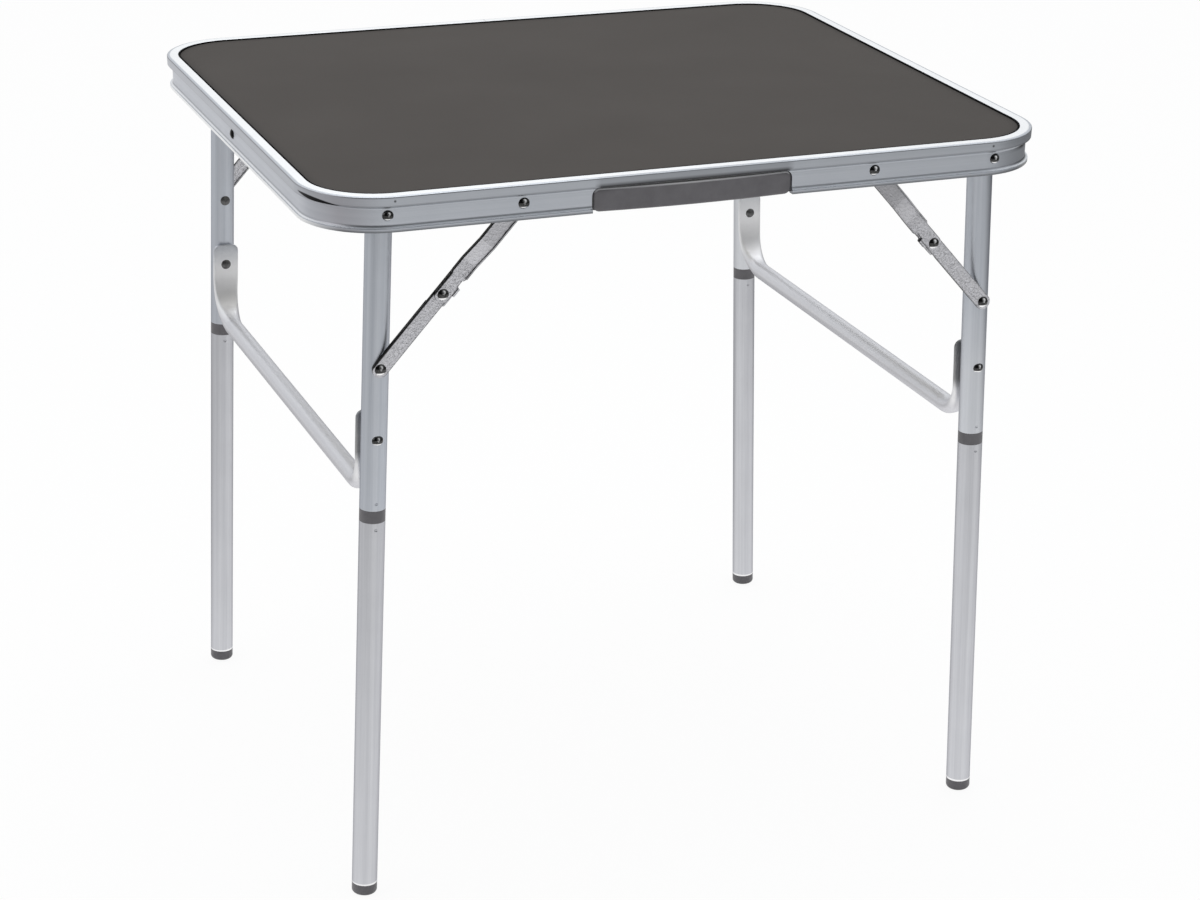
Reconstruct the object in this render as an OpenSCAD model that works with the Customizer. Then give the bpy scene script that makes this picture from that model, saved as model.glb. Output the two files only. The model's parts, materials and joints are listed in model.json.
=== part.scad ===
// Folding camping table: a grey panel in a rounded aluminium rail, two folding leg
// frames with locking two-bar struts, and lower legs that plug into the upper ones.
// Millimetres. X runs along the front rail, Y to the back, Z up. The origin is on the
// ground under the middle of the table. The front left corner is drawn, and the other
// three are its mirror images.

/* [Table top] */
// Overall length of the top, along the front rail
top_l = 750; // [640:5:900]
// Overall width of the top, front to back
top_w = 638; // [560:2:760]
// Height of the top edge above the ground
table_h = 722; // [660:2:780]
// Outer radius of the rail's corners
corner_r = 76; // [60:1:110]
// Thickness of the panel
panel_t = 4; // [3:0.5:5]
// Seen width of the black seal round the panel
seal_w = 2.2; // [0.8:0.1:3]
// Height of the seal above the panel
seal_h = 1; // [0.4:0.1:1]

/* [Edge rail] */
// Height of the rail
rail_h = 34.5; // [33:0.5:40]
// Width of the lip, from the panel to the outermost face
lip_w = 12; // [11:0.5:14]
// Height of the lip above the panel
lip_rise = 1.2; // [1:0.1:1.8]
// Height of the bead under the lip
bead_h = 10; // [9:0.25:10.5]
// How far the fascia lies behind the bead
fascia_in = 5.4; // [4.5:0.1:6]
// How far the lower flange stands out from the fascia
flange_out = 3; // [2:0.1:4]
// Height of the lower flange
flange_h = 3.5; // [2.5:0.25:4]
// Thickness of the fascia wall
rail_wall = 1.8; // [1.4:0.1:2.2]
// Thickness of the shelf under the panel
shelf_t = 1.6; // [1.2:0.1:2]
// How far the shelf reaches in past the seen edge of the panel
shelf_in = 6; // [3:0.5:6]

/* [Legs] */
// Outer diameter of the leg tubes
tube_d = 25; // [22:0.5:26]
// Wall of the leg tubes
tube_wall = 1.5; // [1.2:0.1:2]
// Outward lean of the standing legs, in degrees
leg_splay = 1.9; // [0:0.1:4]
// Distance of the leg pivots from the ends of the top
pivot_in_x = 68; // [60:1:80]
// Distance of the leg axes from the long sides of the top
leg_in_y = 34.5; // [33:0.5:40]
// Depth of the pivots below the top edge
pivot_drop = 19.2; // [18.5:0.1:21]
// Distance from the pivot down to the collar
collar_at = 292.7; // [275:1:300]
// Height of the collar
collar_h = 12.5; // [8:0.5:20]
// Length of the plug inside each tube
plug_l = 40; // [30:1:60]
// Height of the foot cap below its tube
foot_h = 12; // [8:0.5:20]

/* [Cross braces] */
// Outer diameter of the brace tube
brace_d = 19; // [16:0.5:22]
// Distance from the pivot down to the brace tube
brace_at = 283; // [265:1:290]
// Radius of the bends, on the middle line of the tube
bend_r = 35; // [28:1:45]
// Thickness of the flattened ends
flat_t = 4; // [3:0.25:5]
// Distance from the pivot down to the brace rivet
brace_rivet_at = 222; // [205:1:230]
// Length of the flattened end above its rivet
flat_top = 22; // [14:1:30]

/* [Struts] */
// Width of the lower strut bars, and of the upper ones near the middle rivet
bar_w = 15.5; // [13:0.5:16]
// Width of the upper strut bars above that
bar_wide = 18; // [16:0.5:19]
// How far the upper strut bars are set out towards the rail
bar_step = 4; // [2:0.5:4]
// Thickness of the strut bars
bar_t = 2; // [1.5:0.25:2.25]
// Distance from the leg pivot to the strut pivot, along the rail
strut_on_rail = 129.3; // [115:0.5:140]
// Distance from the leg pivot to the strut rivet, down the leg
strut_on_leg = 150.7; // [145:0.5:170]
// Height of the stiffening lips of the bars
bar_lip = 1.4; // [0.8:0.1:1.5]
// Reach of the lower bar past the middle rivet
bar_tail = 34; // [26:1:38]
// Length of the stop lug along the bar
lug_l = 9; // [6:0.5:9]

/* [Rivets] */
// Diameter of the rivet shanks
rivet_d = 5; // [4:0.25:5.5]
// Diameter of the domed rivet heads
head_d = 11; // [9:0.5:12]
// Height of the domed rivet heads
head_h = 2.4; // [1.8:0.1:3]
// Diameter of the closed rivet tails
tail_d = 10.5; // [8:0.5:11]

/* [Carry handle] */
// Length of the handle
handle_l = 199; // [150:1:220]
// Distance of the handle's middle from the middle of the rail
handle_x = -10; // [-30:1:30]
// Height of the handle's face
handle_h = 22.4; // [16:0.1:22.5]
// How far the face bows out in the middle
handle_bow = 4; // [2:0.25:4]

/* [Hidden] */
$fn = 64;

// Colours of the pieces
panel_grey = [0.35, 0.33, 0.32];
seal_black = [0.04, 0.04, 0.04];
rail_silver = [0.80, 0.82, 0.84];
tube_silver = [0.74, 0.75, 0.77];
zinc_grey = [0.68, 0.68, 0.70];
rivet_chrome = [0.86, 0.87, 0.88];
plastic_grey = [0.36, 0.36, 0.37];
bush_black = [0.10, 0.10, 0.11];

// Clearances
pin_play = 0.05;     // round a rivet shank in its hole, and round a plug in its tube
face_play = 0.1;     // between a bush or tail and the bar that turns on it
layer_play = 0.3;    // between the two bars of a strut
seat_play = 0.2;     // round the panel in its channel
handle_gap = 1.7;    // round the handle in the opening of the rail

// Heights
lip_z = table_h;
panel_z = table_h - lip_rise;
shelf_z = panel_z - panel_t;
shelf_low = shelf_z - shelf_t;
rail_low = table_h - rail_h;
pivot_z = table_h - pivot_drop;

// Plan of the top, measured at the seen edge of the panel
seen_l = top_l - 2 * lip_w;
seen_w = top_w - 2 * lip_w;
seen_r = corner_r - lip_w;

// Distances outwards from the seen edge of the panel
fascia_o = lip_w - fascia_in;
wall_o = fascia_o - rail_wall;
flange_o = fascia_o + flange_out;
pocket_o = lip_w - 2.6;
return_o = wall_o - 3;

// Pivots of the front left corner
pivot_x = top_l / 2 - pivot_in_x;
leg_y = top_w / 2 - leg_in_y;
tube_r = tube_d / 2;
leg_face_y = leg_y + tube_r;
fascia_y = seen_w / 2 + fascia_o;
wall_y = seen_w / 2 + wall_o;

// Layers of a strut, measured outwards from the middle of the table
washer_t = 1.5;
lower_y = leg_face_y + washer_t;
upper_y = lower_y + bar_t + layer_play;
bush_y = upper_y + bar_step + bar_t + face_play;

// The strut is straight when the legs stand, and its bars lie along the rail when the
// legs are folded flat: their sum is the standing distance between the end rivets, and
// their difference is the folded one.
hip_x = -pivot_x - strut_on_leg * sin(leg_splay);
hip_z = pivot_z - strut_on_leg * cos(leg_splay);
rail_x = -pivot_x + strut_on_rail;
strut_span = norm([rail_x - hip_x, pivot_z - hip_z]);
upper_l = (strut_span + strut_on_leg - strut_on_rail) / 2;
lower_l = strut_span - upper_l;
strut_angle = atan2(pivot_z - hip_z, rail_x - hip_x);
mid_x = rail_x - upper_l * cos(strut_angle);
mid_z = pivot_z - upper_l * sin(strut_angle);

// The rounded edge of the tilted foot touches the ground
foot_round = 4;
foot_flat_r = tube_r - foot_round;
foot_end = (pivot_z - foot_round - foot_flat_r * sin(leg_splay)) / cos(leg_splay) + foot_round;
foot_top = foot_end - foot_h;
lower_top = collar_at + collar_h;

// Points of an arc from angle a to angle b, in n steps
function arc(x, y, r, a, b, n) =
  [for (i = [0:n]) let (t = a + (b - a) * i / n) [x + r * cos(t), y + r * sin(t)]];
// Radius of the concave arc that ends upright, for a given reach and height
function cove_r(reach, height) = (reach * reach + height * height) / (2 * reach);

// Section of the edge rail: the distance outwards from the panel's seen edge, and the
// height. The lip is over the panel, the shelf under it, and the fascia hangs below.
edge_round = 0.6;
lip_flat = 8.5;
lip_drop = 0.4;
bead_round = 1.2;
bead_draft = 0.2;
bead_foot = 0.8;
cove_curve = 3.2;
cove_low = 13.6;
flare_h = 3.2;
flange_round = 0.8;
function rail_section() =
  let (flare = cove_r(flange_out, flare_h))
  let (cove_top = lip_z - bead_h, flange_z = rail_low + flange_h)
  concat(
    arc(edge_round, lip_z - edge_round, edge_round, 180, 90, 4),
    [[lip_flat, lip_z]],
    arc(lip_w - bead_round, lip_z - lip_drop - bead_round, bead_round, 80, 0, 6),
    arc(lip_w - bead_draft - bead_foot, cove_top + bead_foot, bead_foot, 0, -90, 4),
    arc(fascia_o + cove_curve, lip_z - cove_low, cove_curve, 100, 180, 6),
    arc(fascia_o + flare, flange_z + flare_h, flare, 180, 180 + asin(flare_h / flare), 6),
    arc(flange_o - flange_round, rail_low + flange_round, flange_round, 0, -90, 4),
    [[return_o, rail_low], [return_o, rail_low + rail_wall]],
    [[wall_o, rail_low + rail_wall], [wall_o, shelf_low]],
    [[-shelf_in, shelf_low], [-shelf_in, shelf_z]],
    [[pocket_o, shelf_z], [pocket_o, panel_z], [0, panel_z]]
  );

// Rounded rectangle of the top, grown by o from the seen edge of the panel
module top_outline(o) {
  r = seen_r + o;
  x = seen_l / 2 - seen_r;
  y = seen_w / 2 - seen_r;
  square([2 * (x + r), 2 * y], center = true);
  square([2 * x, 2 * (y + r)], center = true);
  for (sx = [-1, 1], sy = [-1, 1]) translate([sx * x, sy * y]) circle(r, $fn = 128);
}

module top_prism(o, low, high) {
  translate([0, 0, low]) linear_extrude(high - low) top_outline(o);
}

// Carries a section round the top: four straight sides and four quarter turns
module round_the_top(section) {
  x = seen_l / 2 - seen_r;
  y = seen_w / 2 - seen_r;
  turned = [for (p = section) [p[0] + seen_r, p[1]]];
  for (a = [0, 180]) rotate([0, 0, a]) {
    translate([x + seen_r, y, 0]) rotate([90, 0, 0]) linear_extrude(2 * y) polygon(section);
    translate([-x, y + seen_r, 0])
      rotate([90, 0, 90]) linear_extrude(2 * x) polygon(section);
    translate([x, y, 0]) rotate_extrude(angle = 90, $fn = 128) polygon(turned);
    translate([-x, y, 0])
      rotate([0, 0, 90]) rotate_extrude(angle = 90, $fn = 128) polygon(turned);
  }
}

// Places a child drawn for the front left corner at any corner
module corner(right = false, back = false) {
  mirror([right ? 1 : 0, 0, 0]) mirror([0, back ? 1 : 0, 0]) children();
}

module all_corners() {
  for (right = [false, true], back = [false, true]) corner(right, back) children();
}

// Moves a child from the leg pivot's frame, where the leg hangs along -Z, to its place
module on_leg() {
  translate([-pivot_x, 0, pivot_z]) rotate([0, leg_splay, 0]) children();
}

// Moves a child from the middle rivet's frame, where X runs up the strut and Z points
// to the corner between leg and rail
module on_strut() {
  translate([mid_x, 0, mid_z]) rotate([0, -strut_angle, 0]) children();
}

// Straight pin along Y, from y = -near out to y = -far
module pin(x, z, d, near, far) {
  translate([x, -near, z]) rotate([90, 0, 0]) cylinder(d = d, h = far - near);
}

// Low dome whose flat side is at y = 0 and whose crown points outwards, along -Y
module dome(d, h) {
  r = (d * d / 4 + h * h) / (2 * h);
  rotate([90, 0, 0]) intersection() {
    translate([0, 0, h - r]) sphere(r, $fn = 96);
    cylinder(d = d + 1, h = h + 1);
  }
}

// Rivet along Y with its domed head outside at y = -face and its flat tail inside
module rivet(x, z, tail, face) {
  pin(x, z, rivet_d, tail, face);
  translate([x, -face, z]) dome(head_d, head_h);
  translate([x, -tail, z]) mirror([0, 1, 0]) dome(tail_d, rivet_d * 0.36);
}

// Panel and its seal

module table_panel() {
  screw_top = shelf_z + screw_bite;
  color(panel_grey) difference() {
    top_prism(pocket_o - seat_play, shelf_z, panel_z);
    for (s = [-1, 1])
      translate([handle_x + s * screw_x, -screw_y, shelf_z - 1])
        cylinder(d = screw_d, h = 1 + screw_top - shelf_z);
  }
}

module panel_seal() {
  color(seal_black) round_the_top([
    [-seal_w, panel_z], [0, panel_z], [0, panel_z + seal_h], [-seal_w + 0.3, panel_z + seal_h]
  ]);
}

// Edge rail

// The opening for the handle, with its upper corners rounded
opening_top = lip_z - bead_h - 1;
opening_r = 8;
module handle_opening() {
  w = handle_l / 2 + handle_gap;
  deep = fascia_o + flange_out + 2;
  translate([handle_x, -seen_w / 2 - return_o + 1, 0]) rotate([90, 0, 0]) linear_extrude(deep) {
    translate([-w, rail_low - 1]) square([2 * w, opening_top - opening_r - rail_low + 1]);
    translate([-w + opening_r, rail_low]) square([2 * (w - opening_r), opening_top - rail_low]);
    for (s = [-1, 1])
      translate([s * (w - opening_r), opening_top - opening_r]) circle(opening_r);
  }
}

seam_w = 0.3;
module edge_rail() {
  hole = rivet_d + 2 * pin_play;
  color(rail_silver) difference() {
    round_the_top(rail_section());
    handle_opening();
    for (back = [false, true], right = [false, true]) corner(right, back) {
      pin(-pivot_x, pivot_z, hole, wall_y - 4, fascia_y + 2);
      pin(rail_x, pivot_z, hole, wall_y - 1, fascia_y + 1);
    }
    for (a = [-90, 90]) rotate([0, 0, a])
      pin(0, pivot_z, hole, seen_l / 2 + wall_o - 1, seen_l / 2 + fascia_o + 1);
    for (s = [-1, 1]) corner(back = true)
      pin(s * joiner_pitch / 2, pivot_z, hole, wall_y - 1, fascia_y + 1);
    for (s = [-1, 1])
      translate([handle_x + s * screw_x, -screw_y, shelf_low - 1])
        cylinder(d = screw_d + 2 * pin_play, h = shelf_t + 2);
    translate([-seam_w / 2, seen_w / 2 - shelf_in - 1, rail_low - 1])
      cube([seam_w, shelf_in + lip_w + 2, rail_h + 2]);
  }
}

// The ends of the bent rail meet in the middle of the back, over this plate
joiner_l = 70;
joiner_t = 2;
joiner_pitch = 40;
joiner_h = 16;
module rail_joiner() {
  color(zinc_grey) corner(back = true) difference() {
    translate([-joiner_l / 2, -wall_y, pivot_z - joiner_h / 2])
      cube([joiner_l, joiner_t, joiner_h]);
    for (s = [-1, 1])
      pin(s * joiner_pitch / 2, pivot_z, rivet_d + 2 * pin_play, wall_y - 5, wall_y + 1);
  }
}

module joiner_rivets() {
  color(rivet_chrome) corner(back = true)
    for (s = [-1, 1]) rivet(s * joiner_pitch / 2, pivot_z, wall_y - joiner_t, fascia_y);
}

// Shallow channel under the panel, between the two short sides. Its ends pass under the
// shelf and turn down to tabs that are riveted to the fascia.
stiffener_w = 24;
stiffener_h = 3.4;
stiffener_t = 1.2;
module panel_stiffener() {
  end = seen_l / 2 + wall_o;
  inner = seen_l / 2 - shelf_in - 1;
  low = shelf_z - stiffener_h;
  tab_low = pivot_z - 8;
  color(zinc_grey) difference() {
    union() {
      translate([-inner, -stiffener_w / 2, low]) cube([2 * inner, stiffener_w, stiffener_h]);
      translate([-end, -stiffener_w / 2, low]) cube([2 * end, stiffener_w, shelf_low - low]);
      for (s = [0, 1]) mirror([s, 0, 0])
        translate([-end, -stiffener_w / 2, tab_low])
          cube([stiffener_t, stiffener_w, shelf_low - tab_low]);
    }
    translate([-inner, -stiffener_w / 2 + stiffener_t, low - 1])
      cube([2 * inner, stiffener_w - 2 * stiffener_t, stiffener_h + 1 - stiffener_t]);
    for (a = [-90, 90]) rotate([0, 0, a])
      pin(0, pivot_z, rivet_d + 2 * pin_play, end - 4, end + 1);
  }
}

module stiffener_rivets() {
  end = seen_l / 2 + wall_o;
  color(rivet_chrome)
    for (a = [-90, 90]) rotate([0, 0, a])
      rivet(0, pivot_z, end - stiffener_t, seen_l / 2 + fascia_o);
}

// Carry handle: a bowed face in the opening of the rail, with an ear at each end that
// reaches in behind the fascia and is screwed up into the shelf
screw_d = 3.5;
screw_bite = 2.5;
ear_l = 14;
ear_t = 3;
screw_x = handle_l / 2 + handle_gap + ear_l / 2;
screw_y = seen_w / 2 - 2;
handle_low = rail_low + 0.3;
handle_face = fascia_y + 1;
handle_back = wall_y - 1.5;

module handle_face_form() {
  edge = 2;
  turn = 4;
  x = handle_l / 2 - edge - turn;
  z = [handle_low + edge, handle_low + handle_h - edge];
  stations = 4;
  hull() {
    for (sx = [-1, 1], i = [0, 1])
      translate([sx * x, -handle_face + edge, z[i] + (i == 0 ? turn : -turn)])
        rotate([90, 0, 0]) rotate_extrude($fn = 32)
          translate([turn, 0]) circle(edge, $fn = 16);
    for (i = [0, 1], k = [-stations + 1:stations - 1])
      let (t = k / stations)
        translate([t * x, -handle_face - handle_bow * (1 - t * t) + edge, z[i]])
          sphere(edge, $fn = 16);
  }
}

module carry_handle() {
  ear_x = handle_l / 2 + handle_gap;
  grip = handle_h - 3;
  pocket = (handle_l - 46) / 3;
  color(plastic_grey) translate([handle_x, 0, 0]) difference() {
    union() {
      intersection() {
        handle_face_form();
        translate([-top_l / 2, -top_w, handle_low - 1]) cube([top_l, top_w - wall_y, 60]);
      }
      translate([-handle_l / 2 + 1, -wall_y - 0.5, handle_low + 1.5])
        cube([handle_l - 2, wall_y + 0.5 - handle_back + 1.5, grip]);
      for (s = [0, 1]) mirror([s, 0, 0]) {
        translate([ear_x - 12, -wall_y + 0.1, handle_low + 1.5])
          cube([12 + ear_l, 3, shelf_low - handle_low - 1.5]);
        translate([ear_x, -wall_y + 0.1, shelf_low - ear_t])
          cube([ear_l, wall_y - 0.1 - screw_y + 5, ear_t]);
      }
    }
    for (k = [-1:1])
      translate([k * (pocket + 8) - pocket / 2, -handle_face - 0.6, handle_low + 4])
        cube([pocket, 20, handle_h - 8]);
    for (s = [-1, 1])
      translate([s * screw_x, -screw_y, shelf_low - ear_t - 1])
        cylinder(d = screw_d + 2 * pin_play, h = ear_t + 2);
  }
}

module handle_screws() {
  head = 2;
  color(zinc_grey)
    for (s = [-1, 1]) translate([handle_x + s * screw_x, -screw_y, 0]) {
      translate([0, 0, shelf_low - ear_t]) mirror([0, 0, 1]) difference() {
        cylinder(d = 2 * screw_d, h = head);
        for (a = [0, 90]) rotate([0, 0, a])
          translate([-screw_d * 0.6, -0.4, head / 2]) cube([screw_d * 1.2, 0.8, head]);
      }
      translate([0, 0, shelf_low - ear_t])
        cylinder(d = screw_d, h = ear_t + shelf_t + screw_bite - 0.2);
    }
}

// Leg pivots on the rail

bush_d = 16;
module leg_pivot_bushes() {
  color(bush_black) all_corners() difference() {
    intersection() {
      pin(-pivot_x, pivot_z, bush_d, leg_face_y + face_play, fascia_y);
      top_prism(wall_o, 0, table_h);
    }
    pin(-pivot_x, pivot_z, rivet_d + 2 * pin_play, leg_face_y - 1, fascia_y + 1);
  }
}

module leg_pivot_rivets() {
  color(rivet_chrome) all_corners() {
    pin(-pivot_x, pivot_z, rivet_d, leg_y - tube_r - face_play, fascia_y - 1);
    difference() {
      translate([-pivot_x, -fascia_y + 0.8, pivot_z]) dome(head_d, head_h + 0.8);
      top_prism(fascia_o, 0, table_h);
    }
    translate([-pivot_x, -leg_y + tube_r + face_play, pivot_z])
      mirror([0, 1, 0]) dome(tail_d, rivet_d * 0.36);
  }
}

module strut_pivot_bushes() {
  color(bush_black) all_corners() difference() {
    pin(rail_x, pivot_z, bush_d - 3, bush_y, wall_y);
    pin(rail_x, pivot_z, rivet_d + 2 * pin_play, bush_y - 1, wall_y + 1);
  }
}

module strut_pivot_rivets() {
  color(rivet_chrome) all_corners()
    rivet(rail_x, pivot_z, upper_y + bar_step - face_play, fascia_y);
}

// Legs

// A small dimple pressed into the tube at each side, d down from the pivot
module dimples(d) {
  for (s = [-1, 1]) translate([0, s * (tube_r + 0.9), -d]) sphere(1.8, $fn = 24);
}

module upper_leg() {
  hole = rivet_d + 2 * pin_play;
  on_leg() difference() {
    translate([0, -leg_y, 0]) {
      difference() {
        union() {
          intersection() {
            cylinder(r = tube_r, h = tube_r);
            rotate([90, 0, 0]) cylinder(r = tube_r, h = tube_d, center = true);
          }
          translate([0, 0, -collar_at]) cylinder(r = tube_r, h = collar_at);
        }
        translate([0, 0, -collar_at - 1]) cylinder(r = tube_r - tube_wall, h = collar_at + tube_d);
        dimples(collar_at - 7);
      }
    }
    pin(0, 0, hole, leg_y - tube_d, leg_y + tube_d);
    pin(0, -strut_on_leg, hole, leg_y - tube_d, leg_y + tube_d);
    pin(0, -brace_rivet_at, hole, leg_y - tube_d, leg_y + tube_d);
  }
}

module lower_leg() {
  on_leg() translate([0, -leg_y, 0]) difference() {
    translate([0, 0, -foot_top]) cylinder(r = tube_r, h = foot_top - lower_top);
    translate([0, 0, -foot_top - 1]) cylinder(r = tube_r - tube_wall, h = foot_top);
    dimples(lower_top + 7);
  }
}

// Plug with a collar between the tubes and a split spigot in each of them
module leg_plug() {
  spigot_r = tube_r - tube_wall - pin_play;
  slot = 2;
  on_leg() translate([0, -leg_y, 0]) difference() {
    union() {
      translate([0, 0, -lower_top]) cylinder(r = tube_r, h = collar_h);
      translate([0, 0, -lower_top - plug_l + 1]) cylinder(r = spigot_r, h = plug_l + 1);
      translate([0, 0, -collar_at - 1]) cylinder(r = spigot_r, h = plug_l - 1);
      translate([0, 0, -collar_at + plug_l - 2])
        cylinder(r1 = spigot_r, r2 = spigot_r - 2, h = 2);
    }
    translate([0, 0, -lower_top - plug_l]) cylinder(r = spigot_r - 2.5, h = 2 * plug_l + collar_h + 2);
    for (a = [45, 135]) rotate([0, 0, a])
      translate([-tube_d, -slot / 2, -collar_at + 6]) cube([2 * tube_d, slot, plug_l]);
  }
}

// Foot cap: a cup under the tube's end with a plug inside it, rounded at the ground
module foot_cap() {
  spigot_r = tube_r - tube_wall - pin_play;
  on_leg() translate([0, -leg_y, -foot_end]) difference() {
    union() {
      translate([0, 0, foot_round]) cylinder(r = tube_r, h = foot_h - foot_round);
      rotate_extrude() {
        square([foot_flat_r, foot_round + 1]);
        translate([0, foot_round]) intersection() {
          translate([foot_flat_r, 0]) circle(foot_round);
          translate([0, -foot_round]) square([tube_r, foot_round + 0.01]);
        }
      }
      translate([0, 0, foot_h - 1]) cylinder(r = spigot_r, h = 19);
    }
    translate([0, 0, foot_h]) cylinder(r = spigot_r - 2.5, h = 30);
  }
}

// Cross brace: a round tube whose ends turn up and are pressed flat against the legs

flat_w = (PI * brace_d - PI * flat_t) / 2 + flat_t;
brace_y = leg_y - tube_r - brace_d / 2;
press_rise = 16;
// Section of the tube at height z. It is round at t = 0 and flat at t = 1, and keeps the
// side that lies against the leg where it is.
module flat_slice(z, t) {
  wide = brace_d + (flat_w - brace_d) * t;
  deep = brace_d + (flat_t - brace_d) * t;
  for (s = [-1, 1])
    translate([s * (wide - deep) / 2, deep / 2 - (leg_y - tube_r), z])
      cylinder(d = deep, h = 0.01, $fn = 32);
}

module cross_brace() {
  straight = brace_y - bend_r;
  bend_top = brace_at - bend_r;
  press_end = bend_top - press_rise;
  mid = (bend_top + press_end) / 2;
  on_leg() difference() {
    union() {
      translate([0, straight, -brace_at]) rotate([90, 0, 0]) cylinder(d = brace_d, h = 2 * straight);
      for (back = [0, 1]) mirror([0, back, 0]) {
        translate([0, -straight, -bend_top]) rotate([0, 90, 0]) rotate([0, 0, -90])
          rotate_extrude(angle = 90) translate([bend_r, 0]) circle(d = brace_d);
        hull() {
          flat_slice(-bend_top, 0);
          flat_slice(-mid, 0.55);
        }
        hull() {
          flat_slice(-mid, 0.55);
          flat_slice(-press_end, 1);
        }
        translate([0, -(leg_y - tube_r), -press_end])
          flat_end_plate(press_end - brace_rivet_at + flat_top);
      }
    }
    for (back = [0, 1]) mirror([0, back, 0])
      pin(0, -brace_rivet_at, rivet_d + 2 * pin_play, leg_y - tube_d, leg_y);
  }
}

// The flattened stretch, h tall, with its two upper corners rounded off
module flat_end_plate(h) {
  turn = 6;
  translate([0, flat_t, 0]) rotate([90, 0, 0]) linear_extrude(flat_t) {
    translate([-flat_w / 2 + 1, 0]) square([flat_w - 2, h - turn]);
    translate([-flat_w / 2 + 1 + turn, 0]) square([flat_w - 2 - 2 * turn, h]);
    for (s = [-1, 1]) translate([s * (flat_w / 2 - 1 - turn), h - turn]) circle(turn);
  }
  for (s = [-1, 1]) translate([s * (flat_w / 2 - flat_t / 2), flat_t / 2, 0])
    cylinder(d = flat_t, h = h - turn);
}

module brace_rivets() {
  for (back = [false, true]) corner(back = back) on_leg() {
    pin(0, -brace_rivet_at, rivet_d, leg_y - tube_r - flat_t, leg_face_y);
    difference() {
      translate([0, -leg_face_y + 0.9, -brace_rivet_at]) dome(head_d, head_h + 0.9);
      translate([0, -leg_y, -foot_top]) cylinder(r = tube_r, h = foot_top);
    }
    translate([0, -(leg_y - tube_r - flat_t), -brace_rivet_at])
      mirror([0, 1, 0]) dome(tail_d, rivet_d * 0.36);
  }
}

// Strut rivet through the leg, on which the lower bar turns
module strut_rivets() {
  for (back = [false, true]) corner(back = back) on_leg() {
    rivet(0, -strut_on_leg, leg_y - tube_r, lower_y + bar_t + face_play);
  }
}

// Saddle washers between the round leg and the flat bar
module strut_washers() {
  for (back = [false, true]) corner(back = back) on_leg() difference() {
    pin(0, -strut_on_leg, tail_d + 3, leg_y + tube_r * 0.8, lower_y - face_play);
    translate([0, -leg_y, -foot_top]) cylinder(r = tube_r, h = foot_top);
    pin(0, -strut_on_leg, rivet_d + 2 * pin_play, leg_y, lower_y + 1);
  }
}

// Strut bars, in the frame of the middle rivet

lug_start = 4;
notch = [lug_start + lug_l, lug_start + lug_l + 8];
module bar_layer(near, thick) {
  translate([0, -near, 0]) rotate([90, 0, 0]) linear_extrude(thick) children();
}

// Side view of the upper bar, which steps out to the rail between the points step_at.
// It is thick from its back, and its extra lies on the side of the rail.
step_at = [38, 62];
module bar_side(extra) {
  out = upper_y + bar_step;
  past = bar_wide;
  translate([0, 0, -past]) linear_extrude(2 * past) polygon([
    [-past, -upper_y], [step_at[0], -upper_y], [step_at[1], -out], [upper_l + past, -out],
    [upper_l + past, -out - bar_t - extra], [step_at[1], -out - bar_t - extra],
    [step_at[0], -upper_y - bar_t - extra], [-past, -upper_y - bar_t - extra]
  ]);
}

module strut_upper() {
  half = bar_w / 2;
  wide = bar_wide / 2;
  lip_t = 1.2;
  lip_from = notch[1] + 3;
  lip_to = upper_l - 13;
  depth = bar_step + bar_t + bar_lip + 1;
  on_strut() difference() {
    union() {
      intersection() {
        bar_side(0);
        bar_layer(upper_y - 0.5, depth) difference() {
          union() {
            translate([0, -half]) square([upper_l / 2, bar_w]);
            circle(half);
            polygon([
              [notch[1], -half], [lip_from, -wide], [upper_l, -wide],
              [upper_l, wide], [lip_from, wide], [notch[1], half]
            ]);
            translate([upper_l, 0]) circle(wide);
          }
          translate([notch[0], -half - 1]) square([notch[1] - notch[0], 3.2]);
        }
      }
      intersection() {
        bar_side(bar_lip);
        for (s = [-1, 1]) bar_layer(upper_y - 0.5, depth)
          translate([lip_from, s * (wide - lip_t / 2) - lip_t / 2])
            square([lip_to - lip_from, lip_t]);
      }
    }
    for (x = [0, upper_l]) pin(x, 0, rivet_d + 2 * pin_play, upper_y - 1, upper_y + depth);
  }
}

module strut_lower() {
  half = bar_w / 2;
  lip_t = 1.2;
  ear = 1.7;
  chamfer = 3.5;
  lug_in = half + layer_play;
  on_strut() difference() {
    union() {
      bar_layer(lower_y, bar_t) {
        translate([-lower_l, -half]) square([lower_l + 1, bar_w]);
        translate([-lower_l, 0]) circle(half);
        polygon([
          [0, -half], [bar_tail - chamfer, -half], [bar_tail, -half + chamfer],
          [bar_tail, half - chamfer], [bar_tail - chamfer, half], [0, half]
        ]);
        polygon([
          [-10, -half + 1], [-10 + ear, -half - ear], [notch[0], -half - ear - layer_play],
          [notch[0] + ear, -half + 1]
        ]);
      }
      bar_layer(lower_y, 2 * bar_t + layer_play + 0.6)
        translate([lug_start, -lug_in - bar_t]) square([lug_l, bar_t]);
      bar_layer(lower_y, bar_t)
        translate([lug_start, -lug_in - bar_t]) square([lug_l, bar_t + 1]);
      for (s = [-1, 1]) bar_layer(lower_y - bar_lip, bar_lip + 0.5)
        translate([-lower_l + 14, s * (half - lip_t / 2) - lip_t / 2])
          square([lower_l - 28, lip_t]);
    }
    for (x = [0, -lower_l])
      pin(x, 0, rivet_d + 2 * pin_play, lower_y - 3, lower_y + bar_t + 1);
  }
}

// The middle rivet is drawn as its head in the upper bar and its tail in the lower bar
module mid_rivet_head() {
  on_strut() {
    pin(0, 0, rivet_d, upper_y, upper_y + bar_t);
    translate([0, -upper_y - bar_t, 0]) dome(head_d, head_h);
  }
}

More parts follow.
